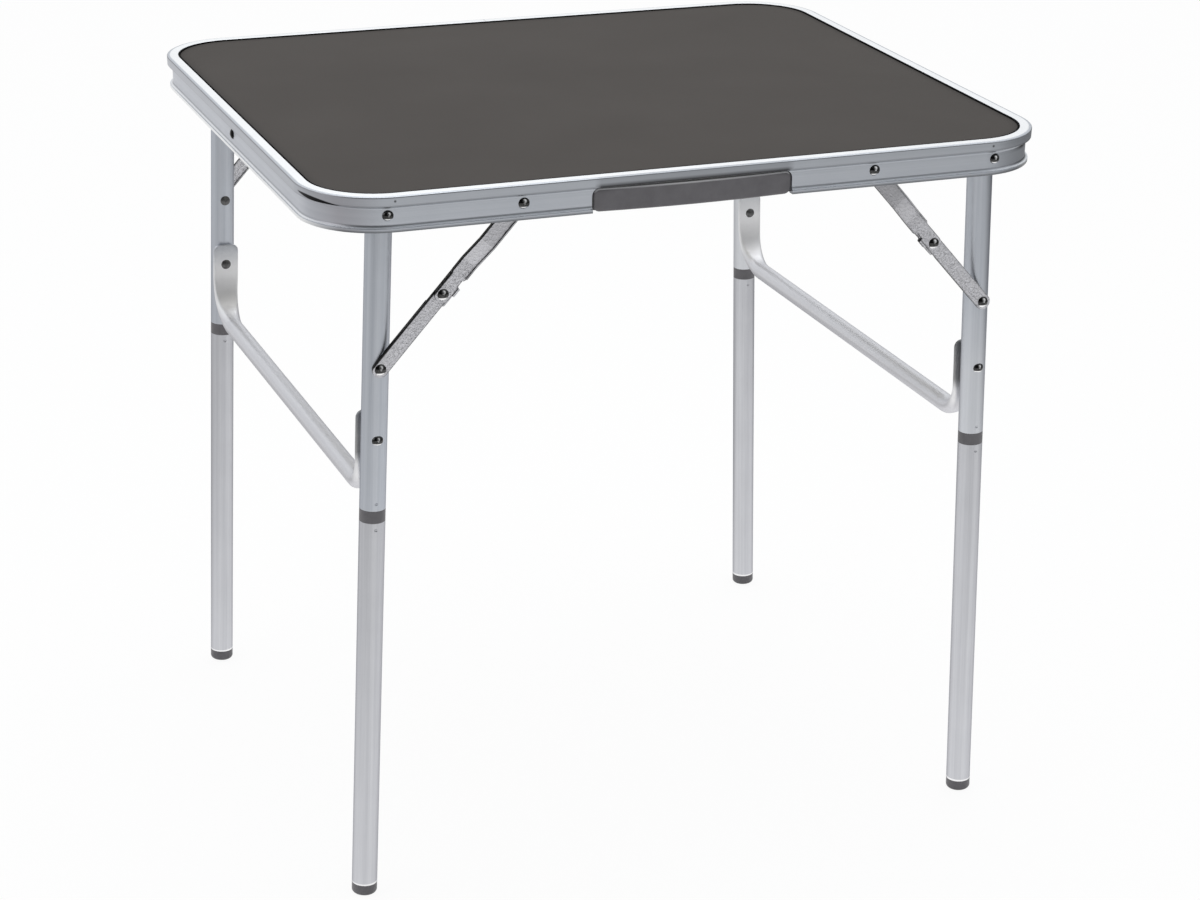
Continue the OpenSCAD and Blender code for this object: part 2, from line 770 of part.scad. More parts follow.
module mid_rivet_tail() {
  on_strut() {
    pin(0, 0, rivet_d, lower_y, lower_y + bar_t);
    translate([0, -lower_y, 0]) mirror([0, 1, 0]) dome(tail_d, rivet_d * 0.3);
  }
}

// One module for each node

module upper_leg_front_left() color(tube_silver) corner() upper_leg();
module upper_leg_back_left() color(tube_silver) corner(back = true) upper_leg();
module upper_leg_front_right() color(tube_silver) corner(right = true) upper_leg();
module upper_leg_back_right() color(tube_silver) corner(true, true) upper_leg();
module cross_brace_left() color(tube_silver) cross_brace();
module cross_brace_right() color(tube_silver) corner(right = true) cross_brace();
module brace_rivets_left() color(rivet_chrome) brace_rivets();
module brace_rivets_right() color(rivet_chrome) corner(right = true) brace_rivets();
module strut_rivets_left() color(rivet_chrome) strut_rivets();
module strut_rivets_right() color(rivet_chrome) corner(right = true) strut_rivets();
module strut_washers_left() color(bush_black) strut_washers();
module strut_washers_right() color(bush_black) corner(right = true) strut_washers();
module strut_upper_front_left() color(zinc_grey) corner() strut_upper();
module strut_upper_back_left() color(zinc_grey) corner(back = true) strut_upper();
module strut_upper_front_right() color(zinc_grey) corner(right = true) strut_upper();
module strut_upper_back_right() color(zinc_grey) corner(true, true) strut_upper();
module strut_lower_front_left() color(zinc_grey) corner() strut_lower();
module strut_lower_back_left() color(zinc_grey) corner(back = true) strut_lower();
module strut_lower_front_right() color(zinc_grey) corner(right = true) strut_lower();
module strut_lower_back_right() color(zinc_grey) corner(true, true) strut_lower();
module mid_rivet_head_front_left() color(rivet_chrome) corner() mid_rivet_head();
module mid_rivet_head_back_left() color(rivet_chrome) corner(back = true) mid_rivet_head();
module mid_rivet_head_front_right() color(rivet_chrome) corner(right = true) mid_rivet_head();
module mid_rivet_head_back_right() color(rivet_chrome) corner(true, true) mid_rivet_head();
module mid_rivet_tail_front_left() color(rivet_chrome) corner() mid_rivet_tail();
module mid_rivet_tail_back_left() color(rivet_chrome) corner(back = true) mid_rivet_tail();
module mid_rivet_tail_front_right() color(rivet_chrome) corner(right = true) mid_rivet_tail();
module mid_rivet_tail_back_right() color(rivet_chrome) corner(true, true) mid_rivet_tail();
module leg_plug_front_left() color(plastic_grey) corner() leg_plug();
module leg_plug_back_left() color(plastic_grey) corner(back = true) leg_plug();
module leg_plug_front_right() color(plastic_grey) corner(right = true) leg_plug();
module leg_plug_back_right() color(plastic_grey) corner(true, true) leg_plug();
module lower_leg_front_left() color(tube_silver) corner() lower_leg();
module lower_leg_back_left() color(tube_silver) corner(back = true) lower_leg();
module lower_leg_front_right() color(tube_silver) corner(right = true) lower_leg();
module lower_leg_back_right() color(tube_silver) corner(true, true) lower_leg();
module foot_cap_front_left() color(plastic_grey) corner() foot_cap();
module foot_cap_back_left() color(plastic_grey) corner(back = true) foot_cap();
module foot_cap_front_right() color(plastic_grey) corner(right = true) foot_cap();
module foot_cap_back_right() color(plastic_grey) corner(true, true) foot_cap();

table_panel();
panel_seal();
edge_rail();
rail_joiner();
joiner_rivets();
panel_stiffener();
stiffener_rivets();
carry_handle();
handle_screws();
leg_pivot_bushes();
leg_pivot_rivets();
strut_pivot_bushes();
strut_pivot_rivets();
upper_leg_front_left();
upper_leg_back_left();
cross_brace_left();
brace_rivets_left();
strut_rivets_left();
strut_washers_left();
upper_leg_front_right();
upper_leg_back_right();
cross_brace_right();
brace_rivets_right();
strut_rivets_right();
strut_washers_right();
strut_upper_front_left();
strut_upper_back_left();
strut_upper_front_right();
strut_upper_back_right();
strut_lower_front_left();
strut_lower_back_left();
strut_lower_front_right();
strut_lower_back_right();
mid_rivet_head_front_left();
mid_rivet_head_back_left();
mid_rivet_head_front_right();
mid_rivet_head_back_right();
mid_rivet_tail_front_left();
mid_rivet_tail_back_left();
mid_rivet_tail_front_right();
mid_rivet_tail_back_right();
leg_plug_front_left();
leg_plug_back_left();
leg_plug_front_right();
leg_plug_back_right();
lower_leg_front_left();
lower_leg_back_left();
lower_leg_front_right();
lower_leg_back_right();
foot_cap_front_left();
foot_cap_back_left();
foot_cap_front_right();
foot_cap_back_right();
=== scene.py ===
# %% [markdown]
# # A folding camping table
#
# The solids of this table come from its CAD model: a panel in a bent aluminium rail, two folding
# leg frames, locking struts and plug-in lower legs. This lesson gives them their finishes,
# replaces the forms that need softer curves, and sets up the picture.
#
# All lengths are in metres. X runs along the front rail, Y to the back and Z up.

# %% Load the model
import json
import math
import bpy
import numpy as np
from mathutils import Matrix, Vector


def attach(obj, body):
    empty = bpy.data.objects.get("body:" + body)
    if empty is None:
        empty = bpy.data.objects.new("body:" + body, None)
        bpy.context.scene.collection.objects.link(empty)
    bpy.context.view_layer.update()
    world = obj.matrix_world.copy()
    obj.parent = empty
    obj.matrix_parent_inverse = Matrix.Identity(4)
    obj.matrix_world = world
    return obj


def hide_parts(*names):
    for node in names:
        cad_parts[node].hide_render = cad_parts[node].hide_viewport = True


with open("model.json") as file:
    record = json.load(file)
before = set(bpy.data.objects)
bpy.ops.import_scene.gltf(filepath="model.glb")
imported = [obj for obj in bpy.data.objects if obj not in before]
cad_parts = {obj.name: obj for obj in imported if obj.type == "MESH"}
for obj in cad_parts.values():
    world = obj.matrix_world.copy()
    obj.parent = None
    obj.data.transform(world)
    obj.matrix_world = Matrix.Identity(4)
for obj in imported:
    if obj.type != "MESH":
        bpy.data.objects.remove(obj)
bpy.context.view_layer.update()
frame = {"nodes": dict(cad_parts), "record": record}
nodes = frame["nodes"]

# %% [markdown]
# ## The camera
#
# The photo was taken from the left of the front, about three metres away, with the
# camera held higher than the table and tipped down by 21 degrees. The lens was long,
# so the legs stay nearly parallel. The three directions below are the camera's own right,
# up and back, found by fitting the table's corners, feet and rivets to the photo. A
# rotation matrix with these three as its columns turns the camera the same way.

# %% Place the camera
camera_place = Vector((-1.0440, -2.7069, 1.4602))
right = Vector((0.93234, -0.36122, 0.01648))
up = Vector((0.11761, 0.34604, 0.93082))
back = Vector((-0.34193, -0.86590, 0.36511))
sensor_width = 36.0
photo_width = 1200.0
focal_pixels = 2899.8

camera_data = bpy.data.cameras.new("camera")
camera = bpy.data.objects.new("camera", camera_data)
bpy.context.scene.collection.objects.link(camera)
camera.matrix_world = Matrix.Translation(camera_place) @ Matrix(
    (right, up, back)).transposed().to_4x4()
camera_data.sensor_width = sensor_width
camera_data.lens = sensor_width * focal_pixels / photo_width
camera_data.clip_end = 60.0
bpy.context.scene.camera = camera
print("lens:", round(camera_data.lens, 2), "mm")

# %% [markdown]
# ## Shader nodes in few words
#
# Every finish below is a small graph of shader nodes. One function adds a node and fills
# its sockets, from constants or from other nodes' outputs. The others are short forms of
# it for the nodes that come back most, so that a finish reads like a recipe.

# %% Helpers for shader nodes
def fill(tree, node, inputs):
    """Fills sockets: with a link where the value is another node's output, else as it is."""
    for name, value in inputs.items():
        if isinstance(value, bpy.types.NodeSocket):
            tree.links.new(value, node.inputs[name])
        else:
            node.inputs[name].default_value = value


def put(tree, kind, inputs=None, **settings):
    """Adds a shader node with its settings, and fills its sockets."""
    node = tree.nodes.new(kind)
    for name, value in settings.items():
        setattr(node, name, value)
    fill(tree, node, inputs or {})
    return node


def maths(tree, operation, a, b=0.0, c=0.0):
    """The result of one arithmetic step on numbers."""
    return put(tree, "ShaderNodeMath", {0: a, 1: b, 2: c}, operation=operation).outputs[0]


def times(tree, *factors):
    """The product of several numbers."""
    product = factors[-1]
    for factor in factors[-2::-1]:
        product = maths(tree, "MULTIPLY", factor, product)
    return product


def most(tree, *values):
    """The largest of several numbers."""
    largest = values[0]
    for value in values[1:]:
        largest = maths(tree, "MAXIMUM", largest, value)
    return largest


def least(tree, *values):
    """The smallest of several numbers."""
    smallest = values[0]
    for value in values[1:]:
        smallest = maths(tree, "MINIMUM", smallest, value)
    return smallest


def away_from(tree, value, middle):
    """How far a number is from a middle, on either side."""
    return maths(tree, "ABSOLUTE", maths(tree, "SUBTRACT", value, middle))


def mixed(tree, a, b, share):
    """The share of a, from 0 to 1, and the rest of b."""
    return maths(tree, "MULTIPLY_ADD", a, share, maths(tree, "MULTIPLY", b, 1.0 - share))


def remap(tree, value, low, high, to_low=0.0, to_high=1.0):
    """Stretches the span from low to high onto another span, and holds the ends."""
    return put(tree, "ShaderNodeMapRange",
               {"Value": value, "From Min": low, "From Max": high,
                "To Min": to_low, "To Max": to_high}).outputs["Result"]


print("a recipe for numbers is ready")

# %% [markdown]
# ## Places, noise and bumps
#
# A finish knows where it is from the place on the object, a vector in metres. It is split
# into its three numbers to ask how high or how far back a place is, and joined again to
# stretch a pattern. Noise gives soft patches at that place, and a bump node turns such a
# pattern into small tilts of the surface, which cost no faces.

# %% Helpers for places and surfaces
def vector(tree, operation, a, b=(0, 0, 0)):
    """The result of one arithmetic step on vectors."""
    return put(tree, "ShaderNodeVectorMath", {0: a, 1: b}, operation=operation).outputs[0]


def scaled(tree, a, factor):
    """A vector times a number."""
    return put(tree, "ShaderNodeVectorMath", {0: a, "Scale": factor},
               operation="SCALE").outputs[0]


def length(tree, a):
    """The length of a vector."""
    return put(tree, "ShaderNodeVectorMath", {0: a}, operation="LENGTH").outputs["Value"]


def split(tree, a):
    """The three numbers of a vector."""
    return put(tree, "ShaderNodeSeparateXYZ", {0: a}).outputs


def join(tree, x, y, z=0.0):
    """A vector of three numbers."""
    return put(tree, "ShaderNodeCombineXYZ", {0: x, 1: y, 2: z}).outputs[0]


def noise(tree, where, scale, detail, rough=0.5):
    """Smooth noise from 0 to 1 at a place, with scale waves to the metre. Each step of
    detail adds waves half as long, which are rough times as strong."""
    return put(tree, "ShaderNodeTexNoise", {"Vector": where, "Scale": scale, "Detail": detail,
                                            "Roughness": rough}).outputs["Fac"]


def bump(tree, height, distance, strength):
    """Tilts the shading as if the surface rose by the height times the distance."""
    return put(tree, "ShaderNodeBump", {"Height": height, "Distance": distance,
                                        "Strength": strength}).outputs["Normal"]


def new_finish(name):
    """A material with only a Principled shader, and a node that gives the place on the
    object in metres and the direction that the surface faces."""
    material = bpy.data.materials.new(name)
    material.use_nodes = True
    tree = material.node_tree
    tree.nodes.clear()
    shader = put(tree, "ShaderNodeBsdfPrincipled")
    put(tree, "ShaderNodeOutputMaterial", {"Surface": shader.outputs["BSDF"]})
    place = put(tree, "ShaderNodeTexCoord")
    return material, tree, shader, place


print("a recipe for places is ready")

# %% [markdown]
# ## Colours as the screen shows them
#
# A colour picked from a screen is a level from 0 to 255 for each of red, green and blue.
# Light adds up in another scale, the linear one, in which middle grey is about a fifth of
# white. The known curve between the two is applied once here, so that the finishes below
# can be written in screen levels.

# %% Helpers for colours
def screen(red, green, blue):
    """A linear colour from the three levels, 0 to 255, that a screen shows it with."""
    levels = np.array((red, green, blue)) / 255.0
    return (*np.where(levels > 0.04045, ((levels + 0.055) / 1.055) ** 2.4, levels / 12.92), 1.0)


def grey(level, warm=0.0):
    """A linear grey from one screen level, made warmer or cooler."""
    linear = screen(level, level, level)[0]
    return (linear * (1 + warm), linear, linear * (1 - warm), 1.0)


def blend_colours(tree, factor, a, b, blend_type="MIX"):
    """Colour a where the factor is 0, and colour b where it is 1."""
    colour_a, colour_b, colour_out = 6, 7, 2
    made = put(tree, "ShaderNodeMix", {"Factor": factor, colour_a: a, colour_b: b},
               data_type="RGBA", blend_type=blend_type)
    return made.outputs[colour_out]


print("a level of 128 is", round(grey(128)[0], 3), "in linear light")

# %% [markdown]
# ## The panel
#
# The top is a thin board with a matt grey-brown coating. Close up such a coating is not flat: it
# has a fine pebbled grain, which spreads the light, and very faint clouds where the roller left
# more or less of it. Two noises do this, one with waves of a millimetre for the grain and one
# with waves of a hand's width for the clouds. Along the seal the last centimetre gets painted
# shade. How near a place is to the seal is worked out from the rounded rectangle of the top. The
# underside, whose normal points down, has a plain pale backing, which lightens the metal below
# it.

# %% Finish of the panel
outline_half = (0.363, 0.307)
outline_radius = 0.064
seal_reach = (0.050, 0.0618)
cloud_waves = 7.0
grain_waves, grain_depth = 1500.0, 0.00008
noise_middle = (0.3, 0.7)
coating = (screen(66, 62, 59), screen(73, 69, 66))
coating_in_seal_shade = screen(44, 42, 41)
underside = (screen(222, 219, 212), screen(232, 230, 225))


def from_outline(tree, flat):
    """How far a place on a level surface is outside the table's inner rectangle.

    The rectangle ends where the corners start to turn. On the inner edge of the lip the
    distance is the radius of its corners, and it grows evenly from there to the outside.
    """
    corner = tuple(half - outline_radius for half in outline_half)
    past = vector(tree, "SUBTRACT", vector(tree, "ABSOLUTE", flat), (*corner, 0))
    return length(tree, vector(tree, "MAXIMUM", past))


def panel_finish():
    """The mean of clouds and grain picks a tone between two. Through seal_reach the tone
    darkens by half the square of the way, and faces that point down get the backing."""
    material, tree, shader, place = new_finish("matt_panel")
    where = place.outputs["Object"]
    clouds = noise(tree, where, cloud_waves, 4.0)
    grain = noise(tree, where, grain_waves, 2.0)
    tone = remap(tree, mixed(tree, clouds, grain, 0.5), *noise_middle)
    colour = blend_colours(tree, tone, *coating)
    x, y, _ = split(tree, where)
    reach = from_outline(tree, join(tree, x, y))
    # Painted shade: the panel darkens along the seal.
    seal_shade = maths(tree, "POWER", remap(tree, reach, *seal_reach), 2.0)
    colour = blend_colours(tree, times(tree, seal_shade, 0.5), colour, coating_in_seal_shade)
    upward = split(tree, place.outputs["Normal"])[2]
    backing = blend_colours(tree, clouds, *underside)
    fill(tree, shader, {
        "Base Color": blend_colours(tree, remap(tree, upward, -0.6, -0.5), backing, colour),
        "Roughness": remap(tree, grain, *noise_middle, 0.66, 0.78),
        "Specular IOR Level": 0.15,
        "Normal": bump(tree, grain, grain_depth, 0.5)})
    return material


panel_material = panel_finish()
print("made", panel_material.name)

# %% [markdown]
# ## Rubber and plastics
#
# The seal is soft black rubber. The handle, the collars and the feet are moulded grey plastic,
# and the bushes and washers black plastic. Moulded plastic has a fine spark-eroded texture from
# the mould, and a soft sheen. Its rounded upper edges get a painted highlight, and the lowest
# millimetres of the feet get painted shade. One function makes them all from two tones and a
# roughness.

# %% Finish of the plastics
mould_waves, mould_depth = 1800.0, 0.0001
rubbed_waves = 60.0
noise_patches = (0.35, 0.75)
leaning = (0.25, 0.6)
nearly_level = (0.90, 0.97)
low_shade_height = (0.0015, 0.0045)
low_shade, edge_highlight = grey(20), grey(225)


def plastic_finish(name, dark, light, roughness, edge, shine):
    """Moulded plastic. Patches of noise pick a tone between dark and light, and a little
    roughness. Faces that lean upwards, but not level ones, are paler by the amount edge."""
    material, tree, shader, place = new_finish(name)
    where = place.outputs["Object"]
    texture = noise(tree, where, mould_waves, 2.0)
    rubbed = noise(tree, where, rubbed_waves, 5.0, 0.6)
    colour = blend_colours(tree, remap(tree, rubbed, *noise_patches), dark, light)
    upward = split(tree, place.outputs["Normal"])[2]
    height = split(tree, where)[2]
    # Painted shade over the lowest millimetres, which only the feet reach.
    low_shading = times(tree, remap(tree, height, *low_shade_height, 0.75, 0.0), rubbed)
    colour = blend_colours(tree, low_shading, colour, low_shade)
    # Painted highlight on faces that lean upwards but are not level.
    pale = times(tree, remap(tree, upward, *leaning, 0.0, edge),
                 remap(tree, upward, *nearly_level, 1.0, 0.0))
    fill(tree, shader, {
        "Base Color": blend_colours(tree, pale, colour, edge_highlight),
        "Roughness": remap(tree, rubbed, *noise_middle, roughness - 0.06, roughness + 0.08),
        "Specular IOR Level": shine,
        "Normal": bump(tree, texture, mould_depth, 0.45)})
    return material


seal_material = plastic_finish("black_rubber", grey(4), grey(12), 0.7, 0.0, 0.02)
grey_plastic = plastic_finish("grey_plastic", screen(94, 92, 95), screen(106, 104, 107), 0.42,
                              0.75, 0.5)
black_plastic = plastic_finish("black_plastic", grey(34), grey(46), 0.5, 0.1, 0.4)
print("made", seal_material.name, grey_plastic.name, black_plastic.name)

# %% [markdown]
# ## Drawn aluminium tube
#
# The tubes are drawn through a die, which leaves fine lines along their length, and then they are
# etched and anodised to a satin grey. The lines are noise that is stretched more than a hundred
# times along the length. On a leg the length is the leg's own slanting axis, so the place is
# first sheared upright by the lean of the leg. The upper tubes are a cooler grey than the lower
# ones, and those at the right get painted light low down and at the back. The cut end of each
# lower tube gets a thin painted glint. The braces are brighter, with lines along Y. The press has
# left their bends rough, and the bends get painted light. The two flat ends at the front get
# painted shade.

# %% Finish of the leg tubes and braces
lean_angle = math.radians(1.9)
leg_lean = math.tan(lean_angle)
line_waves, line_depth = 1400.0, 0.00004
line_tones = (0.32, 0.68)
tube_broad_waves = 220.0
tube_spot_waves = 35.0
right_legs = (0.26, 0.28)
back_legs = (0.20, 0.25)
low_on_leg = (0.56, 0.48)
cut_end_height = 0.0128
cut_end_reach = (0.0009, 0.0016)
bend_starts = (0.426, 0.438)
bend_ends = (0.478, 0.500)
bend_dulls = (0.424, 0.440)
front_flat = (-0.255, -0.262)
flat_starts = (0.450, 0.462)
right_leg_light, glint_and_bend_light, flat_shade = screen(243, 243, 244), screen(252, 252, 253), grey(62)


def tube_finish(name, below, above, change, roughness, stretch, relief, rim, pressed):
    """Drawn tube. The lines are stretched by 1 / stretch along Y and Z. The two tones below the
    first height in change turn into the two above the second. The number rim, from 0 to 1, dims
    what the metal reflects where it is seen nearly along its surface. A thin painted glint rings
    every tube at cut_end_height. Where pressed is 1, the bends are rough and get painted light,
    and the flats at the front legs get painted shade."""
    material, tree, shader, place = new_finish(name)
    where = place.outputs["Object"]
    x, y, z = split(tree, where)
    upright = maths(tree, "MULTIPLY_ADD", z, leg_lean, maths(tree, "ABSOLUTE", x))
    along = join(tree, upright, times(tree, y, stretch[0]), times(tree, z, stretch[1]))
    lines = noise(tree, along, line_waves, 3.0, 0.6)
    broad = noise(tree, along, tube_broad_waves, 2.0)
    spots = noise(tree, where, tube_spot_waves, 4.0)
    turned = remap(tree, z, *change)
    tone = remap(tree, mixed(tree, lines, broad, 0.45), *line_tones)
    colour = blend_colours(tree, tone, blend_colours(tree, turned, below[0], above[0]),
                           blend_colours(tree, turned, below[1], above[1]))
    # Painted light on the right legs, at the back and low down.
    bright = most(tree, remap(tree, y, *back_legs, 0.0, 0.5),
                  remap(tree, z, *low_on_leg, 0.0, 0.32))
    bright = times(tree, turned, remap(tree, x, *right_legs), bright)
    colour = blend_colours(tree, bright, colour, right_leg_light)
    # Painted light: a thin glint at the cut end of the lower tubes, and on the bends of the
    # braces.
    cut_end = remap(tree, away_from(tree, z, cut_end_height), *cut_end_reach, 1.0, 0.0)
    bend = times(tree, remap(tree, z, *bend_starts, 0.0, 0.9 * pressed),
                 remap(tree, z, *bend_ends, 1.0, 0.0))
    colour = blend_colours(tree, most(tree, bend, cut_end), colour, glint_and_bend_light)
    # Painted shade on the two flat ends at the front.
    darkening = times(tree, remap(tree, y, *front_flat), remap(tree, z, *flat_starts))
    darkening = times(tree, darkening, remap(tree, x, -0.1, 0.1, 0.55, 0.62))
    colour = blend_colours(tree, times(tree, darkening, pressed), colour, flat_shade)
    rough = maths(tree, "MULTIPLY_ADD", spots, 0.10, roughness - 0.05)
    fill(tree, shader, {
        "Base Color": colour,
        "Metallic": 1.0,
        "Specular Tint": (rim, rim, rim + 0.02, 1.0),
        "Roughness": maths(tree, "ADD", rough, remap(tree, z, *bend_dulls, 0.0, 0.2 * pressed)),
        "Normal": bump(tree, lines, line_depth, relief)})
    return material


tube_material = tube_finish(
    "satin_tube", (screen(198, 199, 204), screen(217, 218, 222)),
    (screen(193, 198, 206), screen(212, 216, 223)), change=(0.400, 0.412),
    roughness=0.40, stretch=(1.0, 0.006), relief=0.35, rim=0.45, pressed=0)
brace_material = tube_finish(
    "bright_tube", (screen(213, 213, 217), screen(228, 228, 231)),
    (screen(200, 203, 209), screen(218, 221, 226)), change=(0.462, 0.480),
    roughness=0.38, stretch=(0.006, 1.0), relief=0.10, rim=0.85, pressed=1)
print("made", tube_material.name, brace_material.name)

# %% [markdown]
# ## Painted shade on the rail
#
# Painted shade is what makes the rail look real. It lies in the fold under the bead and in the
# cove below it, most of all at the right end, on the hem, on the slope below the lip, and on the
# bead over the handle. It could be painted by hand on a picture, but all of it follows a height
# or a side of the rail, so it is worked out from the place instead. Each mask is a number from 0,
# no shade, to 1, as dark as it gets.

# %% Masks for the painted shade
bead_starts = (0.7119, 0.7124)
fold_height = 0.7118
fold_reach = (0.0004, 0.0021)
cove_heights = (0.7075, 0.7105)
corner_cove_heights = (0.7050, 0.7080)
hem_low, hem_height, hem_high = 0.6915, 0.6930, 0.6945
handle_middle = -0.010
handle_reach = (0.094, 0.101)
handle_shade = (0.7128, 0.7165)
lip_from = 0.718


def fold_shade(tree, z, front, right_corner):
    """Painted shade, 1 in the fold and less in the cove below it. At the right corner all of it
    counts, elsewhere half of it at the front and an eighth at the back."""
    cove = most(tree, remap(tree, z, *cove_heights, 0.0, 0.7),
                times(tree, right_corner, remap(tree, z, *corner_cove_heights)))
    fold = most(tree, remap(tree, away_from(tree, z, fold_height), *fold_reach, 1.0, 0.0),
                times(tree, maths(tree, "LESS_THAN", z, fold_height), cove))
    share = most(tree, times(tree, remap(tree, front, 0.0, 1.0, 0.25, 1.0), 0.5), right_corner)
    return times(tree, fold, share)


def hem_shade(tree, z, right_corner):
    """Painted shade in a band that is full at hem_height, and strong only at the right corner."""
    band = times(tree, remap(tree, z, hem_low, hem_height),
                 remap(tree, z, hem_height, hem_high, 1.0, 0.0))
    return times(tree, band, remap(tree, right_corner, 0.0, 1.0, 0.33, 0.95))


def handle_recess_shade(tree, x, z, bead, front):
    """Painted shade on the bead over the handle, strongest low down."""
    over_handle = remap(tree, away_from(tree, x, handle_middle), *handle_reach, 1.0, 0.0)
    shade = times(tree, remap(tree, z, *handle_shade, 0.95, 0.24), bead, front)
    return times(tree, shade, over_handle)


def lip_slope_shade(tree, z, upward):
    """Painted shade, a third of full, on the steep outer slope of the lip, which leans upwards
    but is not level.
    """
    slope = times(tree, remap(tree, upward, 0.02, 0.1), remap(tree, upward, 0.75, 0.92, 1.0, 0.0))
    return times(tree, times(tree, slope, maths(tree, "GREATER_THAN", z, lip_from)), 0.35)


# All four masks are painted shade.
print("four masks for the dirt are ready")

# %% [markdown]
# ## Punch marks and a painted reflection
#
# A small punch mark stands over each outer rivet of the long sides, and a dark painted reflection
# runs round the front left corner, over the bead. Both are flat colour on the metal, so they need
# no faces: a mark is the distance to a point, and the painted reflection the distance to a line
# that sinks as it goes round.

# %% Masks for the marks and the painted reflection
punch_x, punch_z = 0.302, 0.7174
punch_reach = (0.0007, 0.0015)
reflection_run = (-0.252, -0.302)
reflection_heights = (0.7165, 0.7125)
reflection_swell = 0.0080
reflection_border = (-0.0003, 0.0004)
reflection_end = (-0.32, -0.33)


def punch_mark(tree, x, z):
    """A dot, from the distance to a point over each outer rivet."""
    beside = maths(tree, "SUBTRACT", maths(tree, "ABSOLUTE", x), punch_x)
    mark = join(tree, beside, 0.0, maths(tree, "SUBTRACT", z, punch_z))
    return remap(tree, length(tree, mark), *punch_reach, 0.8, 0.0)


def corner_reflection(tree, x, y, z):
    """A dark painted reflection round the front left corner. Going along it by run, from 0 to 1,
    its middle sinks, and its half width is a fixed swell times run times 1 minus run."""
    run = remap(tree, y, *reflection_run)
    middle = remap(tree, run, 0.0, 0.9, *reflection_heights)
    swell = times(tree, run, maths(tree, "SUBTRACT", 1.0, run))
    within = maths(tree, "MULTIPLY_ADD", swell, reflection_swell,
                   times(tree, -1.0, away_from(tree, z, middle)))
    return times(tree, remap(tree, within, *reflection_border),
                 remap(tree, swell, 0.0, 0.06, 0.0, 0.97), remap(tree, x, *reflection_end))


# The two masks are the punch marks and the painted reflection.
print("two masks for the marks are ready")

# %% [markdown]
# ## Satin rail
#
# The rail is pressed through a die like the tubes, and its lines run round the table. So they
# depend only on the height and on the distance from the outline, which is the same all along the
# rail. Where the metal faces left it gets painted shade, a little darker and warmer, and the bead
# gets a little painted shade too. The flat of the lip gets a painted highlight, and so does the
# lowest rim of both short sides.

# %% Finish of the rail
rail_line_waves = 1500.0
rail_broad_waves = 260.0
rail_spot_waves = 22.0
rail_stretch = 0.004
front_side = (-0.26, -0.30)
right_end = (0.325, 0.345)
lowest_edge = (0.6882, 0.6905)
lip_reach = (0.0722, 0.0736)
rim_heights = (0.6928, 0.6918)
rail_tones = (screen(200, 205, 212), screen(210, 214, 221))
faces_left = (0.84, 0.80, 0.80, 1.0)
bead_shade, shade_and_mark_grey, dark_reflection, highlight_metal = grey(60), grey(52), grey(14), grey(250, -0.01)


def rail_finish():
    """Noise on the distance from the outline and the height, with more laid over it one after the
    other: painted shade and the punch marks, the dark painted reflection, and the painted
    highlights."""
    material, tree, shader, place = new_finish("satin_rail")
    where = place.outputs["Object"]
    x, y, z = split(tree, where)
    flat = join(tree, x, y)
    reach = from_outline(tree, flat)
    lines_at = vector(tree, "ADD", scaled(tree, flat, rail_stretch), join(tree, reach, z))
    lines = noise(tree, lines_at, rail_line_waves, 3.0, 0.6)
    broad = noise(tree, lines_at, rail_broad_waves, 2.0)
    spots = noise(tree, where, rail_spot_waves, 4.0)
    tone = remap(tree, mixed(tree, lines, broad, 0.45), *line_tones)
    colour = blend_colours(tree, tone, *rail_tones)
    sideways, _, upward = split(tree, place.outputs["Normal"])
    # Painted shade, darker and warmer, where the rail faces left.
    leftward = times(tree, remap(tree, sideways, -0.2, -0.7),
                     remap(tree, sideways, -0.7, -1.0, 1.0, 0.35))
    shaded_left = blend_colours(tree, 1.0, colour, faces_left, "MULTIPLY")
    colour = blend_colours(tree, leftward, colour, shaded_left)
    # Painted shade on the bead.
    bead = remap(tree, z, *bead_starts)
    colour = blend_colours(tree, times(tree, bead, 0.14), colour, bead_shade)

    front = remap(tree, y, *front_side)
    elsewhere = maths(tree, "SUBTRACT", 1.0, front)
    right_corner = remap(tree, x, *right_end)
    # Painted shade from the masks above and along the lowest front edge, with the punch marks,
    # which are real.
    darkening = most(tree, fold_shade(tree, z, front, right_corner),
                 times(tree, remap(tree, z, *lowest_edge, 0.7, 0.0), front),
                 hem_shade(tree, z, right_corner), handle_recess_shade(tree, x, z, bead, front),
                 lip_slope_shade(tree, z, upward), punch_mark(tree, x, z))
    colour = blend_colours(tree, darkening, colour, shade_and_mark_grey)
    # A dark painted reflection round the front left corner.
    colour = blend_colours(tree, corner_reflection(tree, x, y, z), colour, dark_reflection)
    # Painted highlights on the flat of the lip and on the lowest rim of the short sides.
    lip_highlight = times(tree, remap(tree, upward, 0.7, 0.95), remap(tree, reach, *lip_reach, 1.0, 0.0))
    rim = times(tree, remap(tree, z, *rim_heights), most(
        tree, times(tree, remap(tree, sideways, -0.3, -0.7), elsewhere),
        remap(tree, sideways, 0.5, 0.7)))
    fill(tree, shader, {
        "Base Color": blend_colours(tree, most(tree, lip_highlight, rim), colour, highlight_metal),
        "Metallic": 1.0,
        "Roughness": maths(tree, "MULTIPLY_ADD", spots, 0.10, 0.33),
        "Normal": bump(tree, lines, line_depth, 0.3)})
    return material


rail_material = rail_finish()
print("made", rail_material.name)

# %% [markdown]
# ## Painted shade on the strut bars
#
# Each strut is two bars, and they lie in one line at rest. So a place on them can be told by two
# numbers: how far it is along that line, and how far to the side of it. The borders of the bars
# get painted shade, the upper bars get more painted shade towards the rail, and a black painted
# shadow line follows the upper border of the front left strut. The place is the one at rest, also
# when the struts fold, so the shade folds with them.

